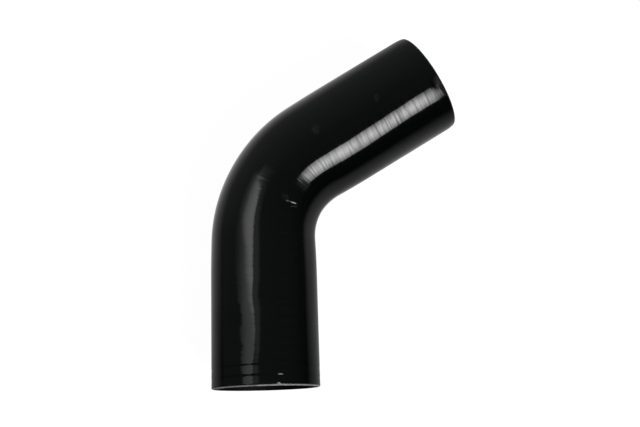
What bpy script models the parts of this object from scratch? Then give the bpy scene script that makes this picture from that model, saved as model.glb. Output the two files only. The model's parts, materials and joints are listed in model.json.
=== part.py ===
# Elbow hose in black silicone rubber: one moulded piece, two straight legs joined by a round bend.
# It lies on its side as it would on a bench. The lower leg runs along +Y, the bend turns towards +X,
# and the origin is under the middle of the hose, on the surface that it lies on. Metres, +Z up.

import math

import bmesh
import bpy
from mathutils import Matrix, Vector

# Driving dimensions, in metres
BORE_DIAMETER = 0.057
WALL = 0.004
LOWER_LEG = 0.1272        # from where the legs' middle lines cross to the cut end
UPPER_LEG = 0.1234
BEND_ANGLE = 60.0         # degrees
BEND_RADIUS = 0.066       # of the middle line

# The wrapping tape pulls the bend in a little, across the hose, in the plane of the bend
WAIST = 0.0022            # lost from the width at the middle of the bend
WAIST_REACH = 0.056       # along the hose, from there to where it is round again

# The tape leaves its laps in the skin: a slow rise over each turn, then a small step down
LAP_PITCH = 0.0057
LAP_STEP = 0.00018
LAP_FALL = 0.0009         # length over which the step goes down

# The ends are cut square, and the knife leaves both edges slightly eased
SKIN_EASE = 0.0008
BORE_EASE = 0.0004
EASE_STEPS = 3

# Fineness of the faces
RING_SIDES = 44
BORE_RING_SPACING = 0.008

RUBBER_COLOUR = (0.012, 0.012, 0.013, 1.0)
RUBBER_ROUGHNESS = 0.3
SHARP_EDGE = math.radians(35)


def clear_scene():
    for old in list(bpy.data.objects):
        bpy.data.objects.remove(old)


def rubber():
    material = bpy.data.materials.new("black_silicone")
    material.use_nodes = True
    shader = material.node_tree.nodes["Principled BSDF"]
    shader.inputs["Base Color"].default_value = RUBBER_COLOUR
    shader.inputs["Roughness"].default_value = RUBBER_ROUGHNESS
    shader.inputs["Metallic"].default_value = 0.0
    return material


def straight_lengths():
    """How much of each leg is straight, outside the bend."""
    taken = BEND_RADIUS * math.tan(math.radians(BEND_ANGLE) / 2)
    return LOWER_LEG - taken, UPPER_LEG - taken


def arc_length():
    return BEND_RADIUS * math.radians(BEND_ANGLE)


def hose_length():
    lower, upper = straight_lengths()
    return lower + arc_length() + upper


def middle_line(distance):
    """Point and heading on the middle line, at this distance from the lower end.

    The lower end's centre is the origin here, and the heading is an angle turned from +Y towards +X."""
    lower, _ = straight_lengths()
    if distance <= lower:
        return Vector((0, distance, 0)), 0.0
    turned = min((distance - lower) / BEND_RADIUS, math.radians(BEND_ANGLE))
    point = Vector((BEND_RADIUS * (1 - math.cos(turned)), lower + BEND_RADIUS * math.sin(turned), 0))
    beyond = max(distance - lower - arc_length(), 0.0)
    return point + beyond * Vector((math.sin(turned), math.cos(turned), 0)), turned


def waist_at(distance):
    """Half of the width that the bend has lost at this distance along the hose."""
    lower, _ = straight_lengths()
    away = abs(distance - lower - arc_length() / 2) / WAIST_REACH
    if away >= 1:
        return 0.0
    return WAIST / 2 * math.cos(away * math.pi / 2) ** 2


def eased_edge(radius, ease):
    """Stations (distance in from the end, radius) round the small curve from a cut face to a wall.

    A positive ease is on the skin, where the radius grows away from the end, a negative one in the bore."""
    size = abs(ease)
    turns = [math.pi / 2 * step / EASE_STEPS for step in range(EASE_STEPS + 1)]
    return [(size * (1 - math.cos(turn)), radius - ease * (1 - math.sin(turn))) for turn in turns]


def lap_stations(radius):
    """Two rings for each turn of the tape: the crest where a lap ends and the foot of its step."""
    last = hose_length() - SKIN_EASE - LAP_FALL
    stations = []
    for lap in range(1, 1 + int(last / LAP_PITCH)):
        crest = lap * LAP_PITCH
        stations.append((crest, radius))
        stations.append((crest + LAP_FALL, radius - LAP_STEP))
    return stations


def skin_stations():
    radius = BORE_DIAMETER / 2 + WALL
    lower_edge = eased_edge(radius, SKIN_EASE)
    upper_edge = [(hose_length() - inset, size) for inset, size in reversed(lower_edge)]
    return lower_edge + lap_stations(radius) + upper_edge


def bore_stations():
    radius = BORE_DIAMETER / 2
    lower_edge = eased_edge(radius, -BORE_EASE)
    upper_edge = [(hose_length() - inset, size) for inset, size in reversed(lower_edge)]
    clear = hose_length() - 2 * BORE_EASE
    gaps = math.ceil(clear / BORE_RING_SPACING)
    between = [(BORE_EASE + clear * gap / gaps, radius) for gap in range(1, gaps)]
    return lower_edge + between + upper_edge


def add_ring(mesh, distance, radius):
    """The corners, in order, of a closed ring square to the middle line."""
    point, heading = middle_line(distance)
    along = Vector((math.sin(heading), math.cos(heading), 0))
    across = Vector((math.cos(heading), -math.sin(heading), 0)) * (radius - waist_at(distance))
    up = Vector((0, 0, 1)) * radius
    place = Matrix((across, up, along)).transposed().to_4x4()
    place.translation = point
    made = bmesh.ops.create_circle(mesh, cap_ends=False, segments=RING_SIDES, radius=1.0, matrix=place)
    return made["verts"]


def join_rings(mesh, ring, following):
    """A band of four-sided faces, corner to corner."""
    for side in range(RING_SIDES):
        corners = (ring[side - 1], ring[side], following[side], following[side - 1])
        mesh.faces.new(corners)


def hose_mesh():
    """One closed wall: up the skin, over the upper cut end, back down the bore and over the lower one."""
    mesh = bmesh.new()
    stations = skin_stations() + list(reversed(bore_stations()))
    rings = [add_ring(mesh, distance, radius) for distance, radius in stations]
    for index, ring in enumerate(rings):
        join_rings(mesh, rings[index - 1], ring)
    bmesh.ops.recalc_face_normals(mesh, faces=mesh.faces)
    return mesh


def rest_on_ground(mesh):
    """Moves the hose so that its lowest line is at height zero and it is centred over the origin."""
    low = Vector([min(corner.co[axis] for corner in mesh.verts) for axis in range(3)])
    high = Vector([max(corner.co[axis] for corner in mesh.verts) for axis in range(3)])
    middle = (low + high) / 2
    bmesh.ops.translate(mesh, verts=mesh.verts, vec=(-middle.x, -middle.y, -low.z))


def make_elbow_hose():
    mesh = hose_mesh()
    rest_on_ground(mesh)
    data = bpy.data.meshes.new("elbow_hose")
    mesh.to_mesh(data)
    mesh.free()
    data.shade_smooth()
    data.set_sharp_from_angle(angle=SHARP_EDGE)
    data.materials.append(rubber())
    hose = bpy.data.objects.new("elbow_hose", data)
    bpy.context.scene.collection.objects.link(hose)
    return hose


clear_scene()
make_elbow_hose()
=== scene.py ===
# A black silicone elbow hose, finished around its fixed solid: the tape-wrapped skin with its laps, ribs,
# scuffs and painted highlights, the cut ends, the bore, and the light and floor that it is seen on. Metres,
# +Z up.

import json
import math

import bpy
from mathutils import Matrix, Vector, noise


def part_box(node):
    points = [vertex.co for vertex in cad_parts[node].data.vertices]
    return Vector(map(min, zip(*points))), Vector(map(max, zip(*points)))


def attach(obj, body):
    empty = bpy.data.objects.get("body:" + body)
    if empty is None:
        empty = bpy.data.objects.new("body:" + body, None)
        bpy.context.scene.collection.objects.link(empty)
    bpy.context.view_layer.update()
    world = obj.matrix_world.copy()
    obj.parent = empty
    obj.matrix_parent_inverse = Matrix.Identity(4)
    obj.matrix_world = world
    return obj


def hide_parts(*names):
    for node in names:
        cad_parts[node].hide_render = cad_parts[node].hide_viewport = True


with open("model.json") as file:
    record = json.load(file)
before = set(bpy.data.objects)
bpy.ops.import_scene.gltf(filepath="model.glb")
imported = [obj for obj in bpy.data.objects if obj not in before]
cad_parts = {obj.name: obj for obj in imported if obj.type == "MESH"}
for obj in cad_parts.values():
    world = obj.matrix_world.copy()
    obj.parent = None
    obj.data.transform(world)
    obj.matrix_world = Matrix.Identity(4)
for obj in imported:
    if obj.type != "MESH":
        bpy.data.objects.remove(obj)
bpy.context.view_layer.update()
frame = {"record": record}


hose = {
    "wall": 0.004,
    "bendRadius": 0.066,        # of the middle line
    "waist": 0.034,             # share of its width that the bend has lost
    "waistReach": 0.056,
    "skinInset": 0.00002,       # the relief stays under the solid's skin
    "endInset": 0.000002,       # and the lower rim inside its end
    "sides": 128,
    "skinCuts": (24, 19),       # rounds of cuts between the two ends: 25 x 20 bands
    "boreCuts": 39,
    "skinEase": 0.0008,         # rounding left by the knife on the two outer rims
    "skinEaseSteps": 3,
    "boreEase": 0.0004,
    "boreEaseSteps": 2,
    "weld": 0.00001,            # corners closer than this are one
    "routePoints": 489,
    "smoothAngle": 40,
}


# What the frame gives: the hose's node, its two cut ends and its size

hoseNode = "elbow_hose"
low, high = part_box(hoseNode)
skinRadius = (high.z - low.z) / 2
ends = {mount["name"]: mount for mount in frame["record"]["mounts"]}
lowerEnd = Vector((ends["lower_end_face"]["pos_m"][0], low.y + hose["endInset"], skinRadius))
upperEnd = Vector((*ends["upper_end_face"]["pos_m"][:2], skinRadius))   # its mark is above the middle line
upperWay = Vector(ends["upper_end_face"]["axis"]).normalized()
bendAngle = math.atan2(upperWay.x, upperWay.y)

upperLeg = (upperEnd.x - lowerEnd.x) / math.sin(bendAngle)
lowerLeg = upperEnd.y - lowerEnd.y - upperLeg * math.cos(bendAngle)
legTaken = hose["bendRadius"] * math.tan(bendAngle / 2)
bendStart = lowerLeg - legTaken
bendLength = hose["bendRadius"] * bendAngle
hoseLength = bendStart + bendLength + upperLeg - legTaken
boreRadius = skinRadius - hose["wall"]


def deselect():
    bpy.ops.object.select_all(action="DESELECT")


def pick(piece):
    deselect()
    piece.select_set(True)
    bpy.context.view_layer.objects.active = piece


def edit(piece):                       # into edit mode with nothing selected
    pick(piece)
    bpy.ops.object.mode_set(mode="EDIT")
    bpy.ops.mesh.select_mode(type="VERT")
    bpy.ops.mesh.select_all(action="DESELECT")


def selectEdges(piece, wanted):        # edges whose two ends pass the test
    bpy.ops.mesh.select_mode(type="EDGE")
    bpy.ops.mesh.select_all(action="DESELECT")
    bpy.ops.object.mode_set(mode="OBJECT")
    corners = piece.data.vertices
    for edge in piece.data.edges:
        first, second = (corners[index].co for index in edge.vertices)
        edge.select = wanted(first, second)
    bpy.ops.object.mode_set(mode="EDIT")


# The middle line that the hose follows

def middleLine(distance):
    if distance <= bendStart:
        return lowerEnd + Vector((0, distance, 0))
    turned = min((distance - bendStart) / hose["bendRadius"], bendAngle)
    point = Vector((1 - math.cos(turned), math.sin(turned), 0)) * hose["bendRadius"]
    beyond = max(distance - bendStart - bendLength, 0)
    return lowerEnd + Vector((0, bendStart, 0)) + point + upperWay * beyond


def makeRoute():
    data = bpy.data.curves.new("route", "CURVE")
    data.dimensions = "3D"
    data.twist_mode = "Z_UP"
    line = data.splines.new("POLY")
    line.points.add(hose["routePoints"] - 1)
    for index, point in enumerate(line.points):
        point.co = (*middleLine(hoseLength * index / (hose["routePoints"] - 1)), 1)
        point.tilt = math.radians(90)
    route = bpy.data.objects.new("route", data)
    bpy.context.scene.collection.objects.link(route)
    return route


# The straight hose, before it is bent: one closed wall along +Y

def makeStraightHose():
    radius = skinRadius - hose["skinInset"]
    inward = (boreRadius / radius, 1, boreRadius / radius)
    deselect()
    bpy.ops.mesh.primitive_circle_add(vertices=hose["sides"], radius=radius, fill_type="NOTHING",
                                      rotation=(math.radians(90), 0, 0))
    piece = bpy.context.object
    piece.name = piece.data.name = "wrapped_hose"
    bpy.ops.object.transform_apply(location=True, rotation=True, scale=True)
    edit(piece)
    bpy.ops.mesh.select_all(action="SELECT")
    bpy.ops.mesh.extrude_region_move(TRANSFORM_OT_translate={"value": (0, hoseLength, 0)})   # skin
    bpy.ops.mesh.extrude_region_move()
    bpy.ops.transform.resize(value=inward, center_override=(0, hoseLength, 0))               # upper cut face
    bpy.ops.mesh.extrude_region_move(TRANSFORM_OT_translate={"value": (0, -hoseLength, 0)})  # bore
    bpy.ops.mesh.extrude_region_move()
    bpy.ops.transform.resize(value=(1 / inward[0], 1, 1 / inward[2]), center_override=(0, 0, 0))
    bpy.ops.mesh.select_all(action="SELECT")
    bpy.ops.mesh.remove_doubles(threshold=hose["weld"])        # the lower cut face closes
    bpy.ops.mesh.normals_make_consistent(inside=False)

    def onSkin(point):
        return math.hypot(point.x, point.z) > (radius + boreRadius) / 2

    def inRim(first, second):
        return abs(first.y - second.y) < hose["weld"] / 10 and onSkin(first) == onSkin(second)

    selectEdges(piece, lambda first, second: inRim(first, second) and onSkin(first))
    bpy.ops.mesh.bevel(offset=hose["skinEase"], segments=hose["skinEaseSteps"], affect="EDGES")
    selectEdges(piece, lambda first, second: inRim(first, second) and not onSkin(first))
    bpy.ops.mesh.bevel(offset=hose["boreEase"], segments=hose["boreEaseSteps"], affect="EDGES")

    def alongSkin(first, second):
        return abs(first.y - second.y) > 4 * hose["skinEase"] and onSkin(first)

    for cuts in hose["skinCuts"]:
        selectEdges(piece, alongSkin)
        bpy.ops.mesh.subdivide(number_cuts=cuts)

    def longBore(first, second):
        return abs(first.y - second.y) > hoseLength / 2 and not onSkin(first)

    selectEdges(piece, longBore)
    bpy.ops.mesh.subdivide(number_cuts=hose["boreCuts"])
    bpy.ops.object.mode_set(mode="OBJECT")
    return piece


# Relief of the wrapped skin, pressed in before the hose is bent

relief = {
    "lapPitch": 0.0057,
    "lapFall": 0.0009,          # length of the step at the end of a lap
    "lapStep": (0.000010, 0.000010),    # on the lower leg and on the upper one
    "endLapStep": 0.00010,      # the laps nearest the lower end are pressed deeper
    "endLaps": 0.0135,          # how far up from that end
    "endLapsBlend": 0.002,
    "lapUnevenness": 0.7,       # of the steps' depth
    "lapWander": 0.0005,        # how far the laps stray along the hose
    "ribPitch": 0.0025,
    "ribDepth": (0.000008, 0.000007),
    "ribWander": 2.2,           # in ribs
    "ribStrength": (0.6, 0.8),  # the share that all ribs have, and the share that varies
    "unevenness": 0.00006,
    "upperTaper": 0.0007,       # the last of the upper end is drawn in a little
    "upperTaperReach": 0.013,
    "upperTaperLeast": 0.006,   # shortest reach round the rim
    "taperTwist": 1.2,          # and further down its upper side
    "seed": (3.7, 1.9, 8.3),
}

reliefNoise = {                 # size, how far it is drawn out round the hose, and its shift from the seed
    "lapWander": (0.012, 2.5, 0.0),
    "lapUnevenness": (0.016, 1.5, 0.4),
    "ribWander": (0.009, 3.0, 0.7),
    "ribStrength": (0.011, 1.2, 0.2),
    "unevenness": (0.030, 1.0, 0.9),
}


def wobble(point, kind):
    size, stretch, shift = reliefNoise[kind]
    seed = Vector(relief["seed"]) * (1 + shift)
    return noise.noise(Vector((point.x / stretch, point.y, point.z / stretch)) / size + seed)


def smoothStep(value):
    value = min(max(value, 0.0), 1.0)
    return value * value * (3 - 2 * value)


def overLegs(point, depths):           # passes from the lower leg's depth to the upper one's over the bend
    return depths[0] + (depths[1] - depths[0]) * smoothStep((point.y - bendStart) / bendLength)


def lapDepth(point):
    strayed = point.y + relief["lapWander"] * wobble(point, "lapWander")
    turn = strayed / relief["lapPitch"] % 1 * relief["lapPitch"]
    fallen = smoothStep(turn / relief["lapFall"])
    risen = max(turn - relief["lapFall"], 0) / (relief["lapPitch"] - relief["lapFall"])
    nearEnd = smoothStep((relief["endLaps"] - point.y) / relief["endLapsBlend"] + 0.5)
    step = overLegs(point, relief["lapStep"])
    step *= 1 + relief["lapUnevenness"] * wobble(point, "lapUnevenness")
    step += (relief["endLapStep"] - step) * nearEnd
    return step * (1 - fallen + risen)


def ribDepth(point):
    phase = wobble(point, "ribWander") * relief["ribWander"]
    wave = 0.5 + 0.5 * math.sin((point.y / relief["ribPitch"] + phase) * math.tau)
    shared, varied = relief["ribStrength"]
    strength = shared + varied * wobble(point, "ribStrength")
    return overLegs(point, relief["ribDepth"]) * wave * max(strength, 0)


def taperDepth(point):
    turn = math.atan2(point.z, abs(point.x))
    reach = relief["upperTaperReach"] * (1 + relief["taperTwist"] * (turn - 1))
    share = 1 - (hoseLength - point.y) / max(reach, relief["upperTaperLeast"])
    return relief["upperTaper"] * max(share, 0) ** 2


def pressRelief(piece):
    for corner in piece.data.vertices:
        point = corner.co
        radius = math.hypot(point.x, point.z)
        if radius < (skinRadius + boreRadius) / 2:
            continue
        uneven = relief["unevenness"] * (0.5 + 0.5 * wobble(point, "unevenness"))
        sunk = lapDepth(point) + ribDepth(point) + uneven + taperDepth(point)
        point.x -= point.x / radius * sunk
        point.z -= point.z / radius * sunk


def keepUnbentPlace(piece):            # lets the finish follow the hose round its bend
    unbent = piece.data.attributes.new("unbent", "FLOAT_VECTOR", "POINT")
    for corner, kept in zip(piece.data.vertices, unbent.data):
        kept.vector = corner.co


def shareFinishes(piece):              # skin, cut faces and bore, told apart while the hose is straight
    finishes = (skinMaterial(), cutMaterial(), boreMaterial())
    for finish in finishes:
        piece.data.materials.append(finish)
    for face in piece.data.polygons:
        across = math.hypot(face.center.x, face.center.z)
        if across < boreRadius + hose["boreEase"]:
            face.material_index = 2
        elif abs(face.normal.y) > 0.99:
            face.material_index = 1


def drawInWaist(piece):
    middle = bendStart + bendLength / 2
    stations = {round(corner.co.y, 6) for corner in piece.data.vertices}
    nearest = min(sorted(stations), key=lambda station: abs(station - middle))
    edit(piece)
    bpy.ops.object.mode_set(mode="OBJECT")
    for corner in piece.data.vertices:
        corner.select = abs(corner.co.y - nearest) < hose["weld"]
    bpy.ops.object.mode_set(mode="EDIT")
    bpy.ops.transform.resize(value=(1 - hose["waist"], 1, 1), center_override=(0, nearest, 0),
                             use_proportional_edit=True, proportional_edit_falloff="SMOOTH",
                             proportional_size=hose["waistReach"])
    bpy.ops.object.mode_set(mode="OBJECT")


def bendAlong(piece, route):
    follow = piece.modifiers.new("follow", "CURVE")
    follow.object = route
    follow.deform_axis = "POS_Y"
    pick(piece)
    bpy.ops.object.modifier_apply(modifier="follow")
    bpy.data.objects.remove(route)


def makeHose():
    piece = makeStraightHose()
    keepUnbentPlace(piece)
    print("straight hose is made")
    shareFinishes(piece)
    print("finishes are shared out")
    pressRelief(piece)
    drawInWaist(piece)
    print("relief is pressed in")
    bendAlong(piece, makeRoute())
    print("hose is bent along its middle line")
    pick(piece)
    bpy.ops.object.shade_smooth_by_angle(angle=math.radians(hose["smoothAngle"]))
    print("hose:", len(piece.data.vertices), "corners,", len(piece.data.polygons), "faces")
    return piece


# Shader maths, written as sums

class Value:
    def __init__(self, bench, socket):
        self.bench = bench
        self.socket = socket

    def combine(self, operation, first, second):
        return self.bench.node("ShaderNodeMath", {"operation": operation}, {0: first, 1: second})

    def __add__(self, other):
        return self.combine("ADD", self, other)

    def __radd__(self, other):
        return self.combine("ADD", other, self)

    def __sub__(self, other):
        return self.combine("SUBTRACT", self, other)

    def __rsub__(self, other):
        return self.combine("SUBTRACT", other, self)

    def __mul__(self, other):
        return self.combine("MULTIPLY", self, other)

    def __rmul__(self, other):
        return self.combine("MULTIPLY", other, self)

    def __pow__(self, other):
        return self.combine("POWER", self, other)

    def atLeast(self, least):
        return self.combine("MAXIMUM", self, least)

    def size(self):                    # without its sign
        return self.combine("ABSOLUTE", self, 0)

    def exponent(self):
        return self.combine("EXPONENT", self, 0)


def wayTo(azimuth, elevation):         # angles in degrees
    azimuth, elevation = math.radians(azimuth), math.radians(elevation)
    return Vector((math.cos(elevation) * math.cos(azimuth), math.cos(elevation) * math.sin(azimuth),
                   math.sin(elevation)))


class Bench:                           # the nodes of one material, lamp or world
    def __init__(self, owner):
        owner.use_nodes = True
        self.tree = owner.node_tree
        self.tree.nodes.clear()

    def node(self, kind, settings=None, inputs=None, output=0):
        made = self.tree.nodes.new(kind)
        for name, value in (settings or {}).items():
            setattr(made, name, value)
        for name, value in (inputs or {}).items():
            if isinstance(value, Value):
                self.tree.links.new(value.socket, made.inputs[name])
            else:
                made.inputs[name].default_value = value
        return Value(self, made.outputs[output]) if len(made.outputs) else made

    def ramp(self, value, low, high, start=0.0, end=1.0):       # smooth rise from start to end
        return self.node("ShaderNodeMapRange", {"interpolation_type": "SMOOTHSTEP"},
                         {"Value": value, "From Min": low, "From Max": high, "To Min": start, "To Max": end})

    def split(self, vector):
        return [self.node("ShaderNodeSeparateXYZ", {}, {0: vector}, output=axis) for axis in range(3)]

    def scaled(self, vector, scale):
        return self.node("ShaderNodeVectorMath", {"operation": "MULTIPLY"}, {0: vector, 1: scale})

    def along(self, vector, azimuth, elevation=0):              # how far the vector points that way
        way = wayTo(azimuth, elevation)
        return self.node("ShaderNodeVectorMath", {"operation": "DOT_PRODUCT"}, {0: vector, 1: way}, output=1)

    def noise(self, place, scale, detail=2.0, roughness=0.5):
        return self.node("ShaderNodeTexNoise", {}, {"Vector": place, "Scale": scale, "Detail": detail,
                                                   "Roughness": roughness})

    def stretchedNoise(self, place, scale, detail=2.0, roughness=0.5):      # scale across, along and up
        return self.noise(self.scaled(place, scale), 1.0, detail, roughness)

    def unbent(self):                  # the place on the hose before it was bent
        return self.node("ShaderNodeAttribute", {"attribute_name": "unbent"}, output=1)

    def bump(self, height):            # in metres
        return self.node("ShaderNodeBump", {}, {"Strength": 1.0, "Distance": 1.0, "Height": height})

    def mixColour(self, share, first, second):
        return self.node("ShaderNodeMix", {"data_type": "RGBA"}, {0: share, 6: first, 7: second}, output=2)


# Finishes

# Fitted to one photograph. Scales of noise are per metre, and places are degrees round from the inner side.

skinFinish = {
    "colour": (0.0011, 0.0015, 0.0014, 1),
    # pale of the scratch and specks, and of the painted highlights on the rims and faint marks
    "scuffAndGlint": (1, 1, 1, 1),
    "roughness": (0.05, 0.09),
    "scuffAndGlintRoughness": 3,
    "ior": 1.43,
    "sheen": 0.5,
    "streakSize": (70, 520, 70),            # fine streaks round the hose
    "streakDepth": 0.000004,
    "weaveSize": (900, 2200, 900),
    "weaveDepth": 0.000001,
    "uneven": 0.0002,           # broad swells and hollows of the skin, seen only in what it mirrors
    "unevenSize": 0.018,        # in metres
    "ribSize": (45, 620, 45),   # across, along and up
    "ribShare": (0.42, 0.68),   # of the noise, from where it shows to where it is strongest
    "ribDullness": 0.7,
    "ribSheen": 0.12,
    "lowerRibs": 0.35,          # share of them on the lower leg
    "lapDullness": 0.22,        # just after each lap's step
    "lapDullReach": (0.45, 0.06),           # shares of a lap over which it fades, and over which it comes
    "lapStraySize": (60, 90, 60),
    "lapStray": 0.5,            # in laps
    "ridge": 57,                # the ribs are strongest along this line
    "ridgeReach": (0.006, 0.012),
    "offRidge": 0.06,           # share of them beyond its reach
    "rimDullness": 0.35,        # of the skin beside the upper rim
    "rimDullReach": (0.004, 0.011),
    "rimEvenness": 0.3,         # how much less the ribs show there
    "lean": 0.038,              # a false slope on the upper leg's far half, which moves the highlight on it
    "leanReach": (0.172, 0.226),
    "sway": (-0.040, 0.012),    # the same for the lower leg's highlight, near the end and further up
    "swayTurn": (0.034, 0.050),
    "swayStart": (0.008, 0.022),
    "swayStop": (0.120, 0.160),
    "swayPlace": 96,
    "swayWidth": 0.012,
    "rimGlint": (0.22, 0.06),    # painted highlight: pale colour on the lower and the upper rim, in place of the glint on their rounding
    "rimReach": (0.0003, 0.0010),
    "rimPatchSize": 260,
    "markPatchSize": 330,
    "markPatches": (0.3, 1.7),  # how much the marks' paleness varies
    "raggedSize": 2600,
    "ragged": (1.6, 0.2),       # share of the paleness that varies, and the share that doesn't
    "middleNoise": (0.3, 0.7),  # where most of a noise lies
}

# Pale marks in the skin's colour: the first six are a scratch and two specks; the last three, broad and
# faint, are painted highlights, one of them beside the upper rim
specksAndGlints = [                        # two ends each: metres from the lower end, degrees round from the inner side
    {"from": (0.1134, 60.0), "to": (0.1142, 50.5), "width": 0.0014, "pale": 0.19},
    {"from": (0.1127, 66.0), "to": (0.1140, 58.5), "width": 0.0011, "pale": 0.05},
    {"from": (0.1098, 58.5), "to": (0.1124, 49.0), "width": 0.0010, "pale": 0.02},
    {"from": (0.1168, 71.0), "to": (0.1128, 62.5), "width": 0.0055, "pale": 0.005},
    {"from": (0.0064, 72.5), "to": (0.0063, 66.0), "width": 0.0009, "pale": 0.15},
    {"from": (0.0014, 73.0), "to": (0.0012, 69.0), "width": 0.0014, "pale": 0.19},
    {"from": (0.1600, 96.5), "to": (0.1650, 90.0), "width": 0.0080, "pale": 0.006},
    {"from": (0.2058, 92.0), "to": (0.2020, 84.5), "width": 0.0034, "pale": 0.012},
    {"from": (0.2412, 76.0), "to": (0.2408, 61.0), "width": 0.0060, "pale": 0.012},
]
markEdge = 1.2                   # over 1, so that a mark fades just past its width


def markMask(bench, distance, girth, mark):
    tips = [(math.radians(turn) * skinRadius, place) for place, turn in (mark["from"], mark["to"])]
    middle = [(first + second) / 2 for first, second in zip(*tips)]
    way = [second - first for first, second in zip(*tips)]
    length = math.hypot(*way)
    way = [part / length for part in way]
    lengthways = ((girth - middle[0]) * way[0] + (distance - middle[1]) * way[1]) * (2 / length)
    sideways = ((distance - middle[1]) * way[0] - (girth - middle[0]) * way[1]) * (2 / mark["width"])
    return bench.ramp(lengthways * lengthways + sideways * sideways, 0.0, markEdge, 1.0, 0.0)


def markPaleness(bench, distance, girth):
    pale = 0.0
    for mark in specksAndGlints:
        pale = markMask(bench, distance, girth, mark) * mark["pale"] + pale
    return pale


# Painted highlight: pale colour on the rounding of both rims, standing in for the glint there
def rimGlintPaleness(bench, distance):
    pale = 0.0
    for inset, wear in zip((distance, hoseLength - distance), skinFinish["rimGlint"]):
        pale = bench.ramp(inset, *skinFinish["rimReach"], wear, 0.0) + pale
    return pale


# Share of pale colour in the skin: a real scratch and specks, and painted highlights from the faint broad
# marks and both rims
def scuffAndGlintShare(bench, unbent, distance, girth):
    varied, shared = skinFinish["ragged"]
    ragged = bench.noise(unbent, skinFinish["raggedSize"], 1.0)
    patchy = bench.ramp(bench.noise(unbent, skinFinish["markPatchSize"], 2.0), *skinFinish["middleNoise"],
                        *skinFinish["markPatches"])
    rimPatchy = bench.noise(unbent, skinFinish["rimPatchSize"], 2.0)
    marked = markPaleness(bench, distance, girth) * patchy * (ragged * varied + shared)
    return marked + rimGlintPaleness(bench, distance) * (rimPatchy * varied + shared)


def dullShare(bench, unbent, distance, fromRidge):         # of ribs, laps and the skin by the upper rim
    ribs = bench.stretchedNoise(unbent, skinFinish["ribSize"], 3.0, 0.6)
    onUpperLeg = bench.ramp(distance, bendStart, bendStart + bendLength, skinFinish["lowerRibs"], 1.0)
    nearRidge = bench.ramp(fromRidge.size(), *skinFinish["ridgeReach"], 1.0, skinFinish["offRidge"])
    strayed = bench.stretchedNoise(unbent, skinFinish["lapStraySize"]) * skinFinish["lapStray"]
    laps = distance * (1 / relief["lapPitch"]) + strayed
    turn = bench.node("ShaderNodeMath", {"operation": "FRACT"}, {0: laps})
    fades, comes = skinFinish["lapDullReach"]
    lapped = bench.ramp(turn, 0.0, fades, skinFinish["lapDullness"], 0.0) * bench.ramp(turn, 0.0, comes)
    upperRim = bench.ramp(hoseLength - distance, *skinFinish["rimDullReach"], skinFinish["rimDullness"], 0.0)
    ribbed = bench.ramp(ribs, *skinFinish["ribShare"]) * skinFinish["ribDullness"]
    ribbed = (ribbed + lapped) * onUpperLeg * nearRidge
    return (ribbed + upperRim * nearRidge) * (1 - upperRim * skinFinish["rimEvenness"])


def falseSlope(bench, distance, girth, fromRidge):
    lean = bench.ramp(distance, *skinFinish["leanReach"], 0.0, skinFinish["lean"])
    sway = bench.ramp(distance, *skinFinish["swayTurn"], *skinFinish["sway"])
    sway = sway * bench.ramp(distance, *skinFinish["swayStart"])
    sway = sway * bench.ramp(distance, *skinFinish["swayStop"], 1.0, 0.0)
    aside = girth - math.radians(skinFinish["swayPlace"]) * skinRadius
    nearSway = (aside * aside * (-1 / skinFinish["swayWidth"] ** 2)).exponent()
    return fromRidge * lean + aside * nearSway * sway


def skinMaterial():
    material = bpy.data.materials.new("wrapped_silicone")
    bench = Bench(material)
    unbent = bench.unbent()
    across, distance, up = bench.split(unbent)
    girth = bench.node("ShaderNodeMath", {"operation": "ARCTAN2"}, {0: up, 1: across}) * skinRadius
    fromRidge = girth - math.radians(skinFinish["ridge"]) * skinRadius
    streak = bench.stretchedNoise(unbent, skinFinish["streakSize"])
    weave = bench.stretchedNoise(unbent, skinFinish["weaveSize"], 2.0, 0.6)
    swells = bench.noise(unbent, 1 / skinFinish["unevenSize"], 1.0, 0.4) * skinFinish["uneven"]
    scuffAndGlint = scuffAndGlintShare(bench, unbent, distance, girth)
    # white in the colour: the scratch and specks, and painted highlights on the rims and on the faint broad
    # marks
    colour = bench.mixColour(scuffAndGlint, skinFinish["colour"], skinFinish["scuffAndGlint"])
    roughness = bench.ramp(streak, *skinFinish["middleNoise"], *skinFinish["roughness"])
    roughness = roughness + scuffAndGlint * skinFinish["scuffAndGlintRoughness"]
    height = streak * skinFinish["streakDepth"] + weave * skinFinish["weaveDepth"] + swells
    bump = bench.bump(height + falseSlope(bench, distance, girth, fromRidge))
    glossy, dull = (bench.node("ShaderNodeBsdfPrincipled", {}, {
        "Base Color": colour, "Roughness": roughness, "IOR": skinFinish["ior"], "Specular IOR Level": sheen,
        "Normal": bump}) for sheen in (skinFinish["sheen"], skinFinish["ribSheen"]))
    share = dullShare(bench, unbent, distance, fromRidge)
    skin = bench.node("ShaderNodeMixShader", {}, {0: share, 1: glossy, 2: dull})
    bench.node("ShaderNodeOutputMaterial", {}, {"Surface": skin})
    return material


cutFinish = {
    "colour": (0.012, 0.012, 0.012, 1),
    "scored": (0.030, 0.030, 0.029, 1),     # where the knife has dragged
    "scoredShare": (0.4, 0.7),
    "scoreSize": (1500, 1, 160),
    "scoreDepth": 0.00003,
    "roughness": 0.5,
}


def cutMaterial():
    material = bpy.data.materials.new("cut_silicone")
    bench = Bench(material)
    unbent = bench.unbent()
    drag = bench.stretchedNoise(unbent, cutFinish["scoreSize"], 3.0, 0.6)
    scored = bench.ramp(drag, *cutFinish["scoredShare"])
    colour = bench.mixColour(scored, cutFinish["colour"], cutFinish["scored"])
    bump = bench.bump(drag * cutFinish["scoreDepth"])
    shader = bench.node("ShaderNodeBsdfPrincipled", {}, {
        "Base Color": colour, "Roughness": cutFinish["roughness"], "Normal": bump})
    bench.node("ShaderNodeOutputMaterial", {}, {"Surface": shader})
    return material


boreFinish = {
    "colour": (0.0020, 0.0020, 0.0020, 1),
    "roughness": 0.6,
    "sheen": 0.07,              # of the specular level
    "grainSize": (400, 90, 400),
    "grainDepth": 0.00002,
}


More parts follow.
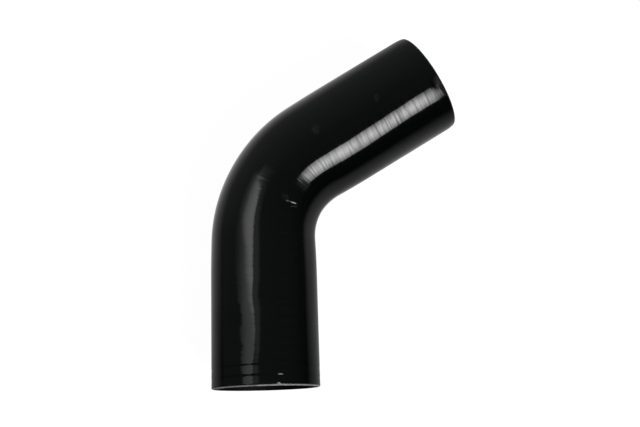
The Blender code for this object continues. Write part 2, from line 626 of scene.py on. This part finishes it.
def boreMaterial():
    material = bpy.data.materials.new("bore_silicone")
    bench = Bench(material)
    unbent = bench.unbent()
    grain = bench.stretchedNoise(unbent, boreFinish["grainSize"], 3.0, 0.5)
    bump = bench.bump(grain * boreFinish["grainDepth"])
    shader = bench.node("ShaderNodeBsdfPrincipled", {}, {
        "Base Color": boreFinish["colour"], "Roughness": boreFinish["roughness"],
        "Specular IOR Level": boreFinish["sheen"], "Normal": bump})
    bench.node("ShaderNodeOutputMaterial", {}, {"Surface": shader})
    return material


# Floor, light and camera

floorLook = {
    "size": 6.0,
    "drop": 0.0003,
    "white": 1.13,
    "shadowShare": 0.15,        # how much of the floor's white follows the light on it
    "shadowReach": (0.30, 0.90),    # and where that ends, far from the hose
    "near": 0.43,               # a fitted glow close by, which the rubber mirrors in place of the white
    "nearLean": 0.163,          # and how much more of it on the side nearest the side lamp
    "nearWay": 144,
    "nearReach": (0.08, 0.126),
    "nearCut": (0.08, 0.25),    # where it ends on the side away from that lamp
    "nearCutLean": (-0.2, 0.4), # and how far round that side goes
    "lit": (0.9, 0.9, 0.9, 1),
}

surroundings = {                # what the rubber mirrors of the room
    "dim": 0.004,
    "ceiling": 0.108,
    "ceilingPower": 1.3,
    "tint": (0.94, 1.06, 1.02, 1),
}

roomGlows = {                   # strength, azimuth and elevation of its middle, and how narrow it is
    "card": {"glow": 0.224, "way": (109.9, 0), "power": 1.385},        # a pale card behind the hose
    "wall": {"glow": 0.058, "way": (20, 21), "power": 5},              # a dimmer wall to the right
    "leftWall": {"glow": 0.048, "way": (155, 8), "power": 8},
}

evenly = 9                      # a spread so wide that the lamp is even that way

lamps = {                       # soft boxes facing the hose: angles in degrees, sizes with their soft edge
    "key": {
        "distance": 1.6, "azimuth": -46.3, "elevation": 39.5, "roll": 2,
        "size": (0.89, 0.93), "edge": 0.03, "radiance": 16.8,
        "hotSpot": (0.005, 0.01), "spread": (0.42, 0.42),
    },
    "keyHaze": {
        "distance": 1.6, "azimuth": -27, "elevation": 34, "roll": 0,
        "size": (0.34, 0.95), "edge": 0.10, "radiance": 0.3,
        "hotSpot": (0, 0), "spread": (evenly, evenly),
    },
    "side": {
        "distance": 1.31, "azimuth": 159.4, "elevation": 51.6, "roll": -10,
        "size": (0.69, 0.92), "edge": 0.05, "radiance": 2.25,
        "hotSpot": (0, 0.32), "spread": (evenly, 0.41),
        "fade": (-0.075, 0.11, 1, 0.49),    # from and to where on its level axis, and the light at each
    },
    "sideHaze": {
        "distance": 1.31, "azimuth": 141, "elevation": 64.5, "roll": 1,
        "size": (0.74, 0.90), "edge": 0.14, "radiance": 0.33,
        "hotSpot": (0, 0), "spread": (evenly, evenly),
        "fade": (-0.20, -0.06, 0, 1),
    },
}

view = {"place": (0.0129, -0.1330, 0.5849), "turn": (13.191, 2.757, -1.787), "lens": 51.37}


def roomGlow(bench, way):
    glow = 0.0
    for part in roomGlows.values():
        facing = bench.along(way, *part["way"]).atLeast(0) ** part["power"]
        glow = facing * part["glow"] + glow
    return glow


def makeFloor():
    deselect()
    bpy.ops.mesh.primitive_plane_add(size=floorLook["size"], location=(0, 0, -floorLook["drop"]))
    floor = bpy.context.object
    floor.name = "floor"
    material = bpy.data.materials.new("white_table")
    bench = Bench(material)
    place = bench.node("ShaderNodeTexCoord", output=3)
    away = bench.node("ShaderNodeVectorMath", {"operation": "LENGTH"}, {0: place}, output=1)
    way = bench.node("ShaderNodeVectorMath", {"operation": "NORMALIZE"}, {0: place})
    clear, fade = floorLook["nearReach"]
    nearby = ((away - clear).atLeast(0) * (-1 / fade)).exponent()
    lean = bench.along(way, floorLook["nearWay"])
    averted = bench.ramp(lean, *floorLook["nearCutLean"], 1.0, 0.0)
    nearby = nearby * (1 - bench.ramp(away, *floorLook["nearCut"]) * averted)
    near = (lean * floorLook["nearLean"] + floorLook["near"]) * nearby
    glow = bench.node("ShaderNodeEmission", {}, {"Color": roomGlow(bench, way) + near})
    lit = bench.node("ShaderNodeBsdfDiffuse", {}, {"Color": floorLook["lit"]})
    white = bench.node("ShaderNodeEmission", {}, {"Strength": floorLook["white"]})
    shaded = bench.ramp(away, *floorLook["shadowReach"], floorLook["shadowShare"], 0.0)
    seen = bench.node("ShaderNodeMixShader", {}, {0: 1 - shaded, 1: lit, 2: white})
    toCamera = bench.node("ShaderNodeLightPath", output=0)
    inGloss = bench.node("ShaderNodeLightPath", output=3)
    plain = bench.node("ShaderNodeMixShader", {}, {0: inGloss, 1: lit, 2: glow})
    surface = bench.node("ShaderNodeMixShader", {}, {0: toCamera, 1: plain, 2: seen})
    bench.node("ShaderNodeOutputMaterial", {}, {"Surface": surface})
    floor.data.materials.append(material)


def makeLamp(name, lamp):
    away = wayTo(lamp["azimuth"], lamp["elevation"])
    aside = wayTo(lamp["azimuth"] + 90, 0)
    facing = Matrix((aside, away.cross(aside), away)).transposed().to_4x4()
    data = bpy.data.lights.new(name, "AREA")
    data.shape = "RECTANGLE"
    data.size, data.size_y = lamp["size"]
    data.energy = lamp["radiance"] * math.pi * data.size * data.size_y
    bench = Bench(data)
    face = bench.split(bench.node("ShaderNodeNewGeometry", output=5))     # from corner to corner of the lamp
    level, upright = ((face[axis] - 0.5) * lamp["size"][axis] for axis in range(2))
    edges = 1.0
    for place, size in ((level, data.size), (upright, data.size_y)):
        edges = bench.ramp(place.size(), size / 2 - lamp["edge"], size / 2, 1.0, 0.0) * edges
    strayed = [(place - middle) * (1 / spread)
               for place, middle, spread in zip((level, upright), lamp["hotSpot"], lamp["spread"])]
    fall = (strayed[0] * strayed[0] + strayed[1] * strayed[1]) * -1
    glow = edges * fall.exponent()
    if "fade" in lamp:
        glow = glow * bench.ramp(level, *lamp["fade"])
    shine = bench.node("ShaderNodeEmission", {}, {"Color": glow})
    bench.node("ShaderNodeOutputLight", {}, {"Surface": shine})
    light = bpy.data.objects.new(name, data)
    bpy.context.scene.collection.objects.link(light)
    light.matrix_world = Matrix.Translation(away * lamp["distance"]) @ facing @ Matrix.Rotation(
        math.radians(lamp["roll"]), 4, "Z")


def makeSurroundings():
    world = bpy.data.worlds.new("surroundings")
    bench = Bench(world)
    way = bench.node("ShaderNodeTexCoord", output=0)
    upward = bench.split(way)[2].atLeast(0)
    ceiling = upward ** surroundings["ceilingPower"] * surroundings["ceiling"]
    mirrored = roomGlow(bench, way) + ceiling + surroundings["dim"]
    toCamera = bench.node("ShaderNodeLightPath", output=0)
    colour = bench.mixColour(mirrored, (0, 0, 0, 1), surroundings["tint"])
    seen = bench.mixColour(toCamera, colour, (1, 1, 1, 1))     # the camera sees plain white
    background = bench.node("ShaderNodeBackground", {}, {"Color": seen})
    bench.node("ShaderNodeOutputWorld", {}, {"Surface": background})
    bpy.context.scene.world = world


def makeCamera():
    data = bpy.data.cameras.new("view")
    data.lens = view["lens"]
    camera = bpy.data.objects.new("view", data)
    camera.location = view["place"]
    camera.rotation_euler = [math.radians(angle) for angle in view["turn"]]
    bpy.context.scene.collection.objects.link(camera)
    bpy.context.scene.camera = camera


makeCamera()
print("camera is set")
makeFloor()
print("floor is laid")
for lampName, lampLook in lamps.items():
    makeLamp(lampName, lampLook)
makeSurroundings()
print("lamps and surroundings are set")

wrappedHose = makeHose()
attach(wrappedHose, "root")
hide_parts(hoseNode)

bpy.context.scene.view_settings.view_transform = "Standard"
